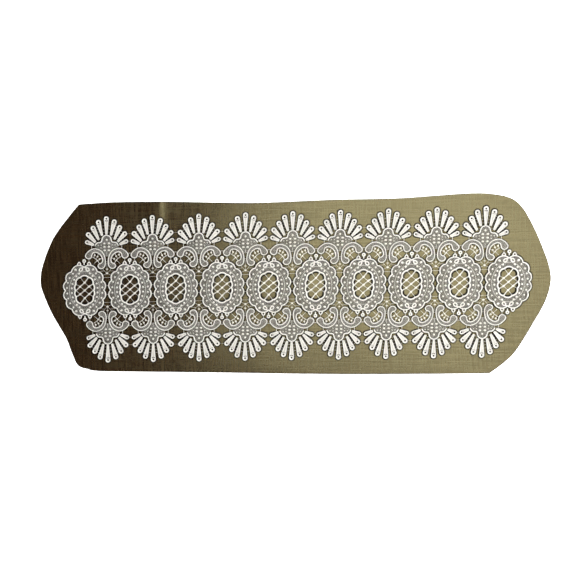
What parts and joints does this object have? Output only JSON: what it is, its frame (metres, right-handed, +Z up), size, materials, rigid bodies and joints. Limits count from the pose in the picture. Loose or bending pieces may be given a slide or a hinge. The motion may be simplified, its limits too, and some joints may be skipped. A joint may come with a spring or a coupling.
{
  "type": "table runner",
  "caption": "Long six-sided table runner with softly pointed ends, in linen-look cloth, with a band of lace medallions, scrolls and shell fans sewn along its middle.",
  "frame": {"origin": "on the surface that the runner rests on, under the middle of its outline", "axes": "+X along the runner's length, +Y to its back long edge, +Z up, out of the lace side"},
  "size_m": [0.9, 0.3156, 0.0033],
  "materials": {
    "ground_cloth": "plain linen-look weave, matte",
    "facing": "plain weave, matte",
    "thread": "spun sewing thread",
    "lace": "cotton guipure, satin-stitched cords with a soft sheen"
  },
  "bodies": {
    "root": {"ground_cloth": "ground_cloth", "facing_back": "facing", "facing_right_back": "facing", "facing_right_front": "facing", "facing_front": "facing", "facing_left_front": "facing", "facing_left_back": "facing", "facing_slip_stitch": "thread", "medallion_1": "lace", "medallion_2": "lace", "medallion_3": "lace", "medallion_4": "lace", "medallion_5": "lace", "medallion_6": "lace", "medallion_7": "lace", "medallion_8": "lace", "medallion_9": "lace", "medallion_10": "lace", "fan_back_1": "lace", "fan_back_2": "lace", "fan_back_3": "lace", "fan_back_4": "lace", "fan_back_5": "lace", "fan_back_6": "lace", "fan_back_7": "lace", "fan_back_8": "lace", "fan_back_9": "lace", "fan_front_1": "lace", "fan_front_2": "lace", "fan_front_3": "lace", "fan_front_4": "lace", "fan_front_5": "lace", "fan_front_6": "lace", "fan_front_7": "lace", "fan_front_8": "lace", "fan_front_9": "lace", "scrolls_back_1": "lace", "scrolls_back_2": "lace", "scrolls_back_3": "lace", "scrolls_back_4": "lace", "scrolls_back_5": "lace", "scrolls_back_6": "lace", "scrolls_back_7": "lace", "scrolls_back_8": "lace", "scrolls_back_9": "lace", "scrolls_front_1": "lace", "scrolls_front_2": "lace", "scrolls_front_3": "lace", "scrolls_front_4": "lace", "scrolls_front_5": "lace", "scrolls_front_6": "lace", "scrolls_front_7": "lace", "scrolls_front_8": "lace", "scrolls_front_9": "lace"}
  },
  "joints": []
}
